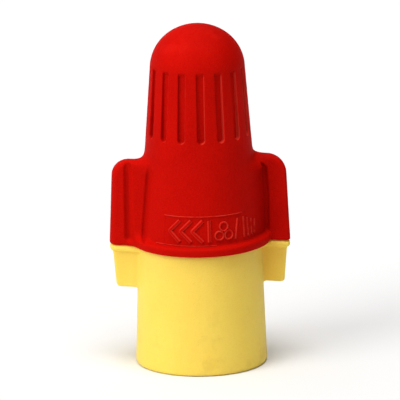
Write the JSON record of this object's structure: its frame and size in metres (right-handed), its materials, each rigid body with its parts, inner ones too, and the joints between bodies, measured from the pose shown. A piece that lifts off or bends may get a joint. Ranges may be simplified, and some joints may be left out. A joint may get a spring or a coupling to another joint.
{
  "type": "twist wire connector",
  "caption": "Twist-on wire connector: soft winged cover over a hard shell with a conical spring that grips wires twisted into it.",
  "frame": {"origin": "centre of the open rim that the wires go into", "axes": "+Z along the axis towards the closed dome, X across the wings, -Y the front"},
  "size_m": [0.0176, 0.0132, 0.0338],
  "materials": {
    "soft_cover": "matte red elastomer",
    "hard_shell": "satin warm yellow plastic",
    "spring_steel": "drawn bright wire"
  },
  "bodies": {
    "root": {"grip_cover": "soft_cover", "inner_shell": "hard_shell", "square_wire_spring": "spring_steel"}
  },
  "joints": []
}
